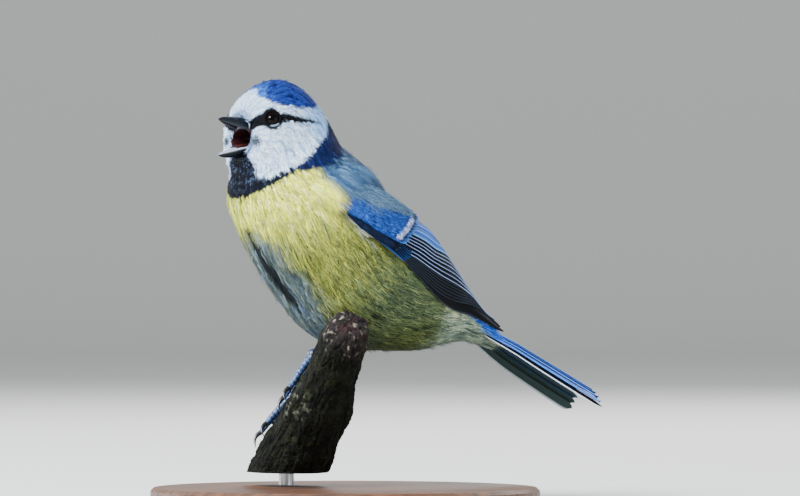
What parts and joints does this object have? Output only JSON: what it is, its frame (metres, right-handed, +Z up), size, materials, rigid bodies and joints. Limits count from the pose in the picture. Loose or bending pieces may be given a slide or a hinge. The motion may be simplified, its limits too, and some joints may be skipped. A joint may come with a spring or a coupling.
{
  "type": "blue tit",
  "caption": "Life-size still model of a blue tit calling with open bill, gripping a cut length of branch on a small round display stand.",
  "frame": {"origin": "centre of the stand base's underside, on the surface that the base rests on", "axes": "+Z up; the bird faces -X and turns its head towards -Y, so its left side faces -Y; -Z leaves the base's underside"},
  "size_m": [0.1076, 0.092, 0.0998],
  "materials": {
    "face_feathers": "soft white and blue face feathers",
    "collar_feathers": "soft dark blue feathers",
    "breast_feathers": "soft yellow feathers",
    "wing_feathers": "smooth blue feathers",
    "tail_feathers": "smooth blue feathers",
    "bill_horn": "smooth dark horn",
    "eye": "wet gloss",
    "leg_skin": "blue-grey scaled skin",
    "claw_horn": "black horn",
    "bark": "rough dark bark",
    "stand_wood": "stained and waxed",
    "stand_metal": "brushed"
  },
  "bodies": {
    "root": {"head": "face_feathers", "neck": "collar_feathers", "torso": "breast_feathers", "eye_left": "eye", "eye_right": "eye", "bill_upper": "bill_horn", "bill_lower": "bill_horn", "wing_left": "wing_feathers", "wing_right": "wing_feathers", "tail": "tail_feathers", "leg_left": "leg_skin", "leg_right": "leg_skin", "foot_left": "leg_skin", "foot_right": "leg_skin", "claw_left_inner": "claw_horn", "claw_left_middle": "claw_horn", "claw_left_outer": "claw_horn", "claw_left_hind": "claw_horn", "claw_right_inner": "claw_horn", "claw_right_middle": "claw_horn", "claw_right_outer": "claw_horn", "claw_right_hind": "claw_horn", "perch": "bark", "stand_rod": "stand_metal", "stand_base": "stand_wood"}
  },
  "joints": []
}
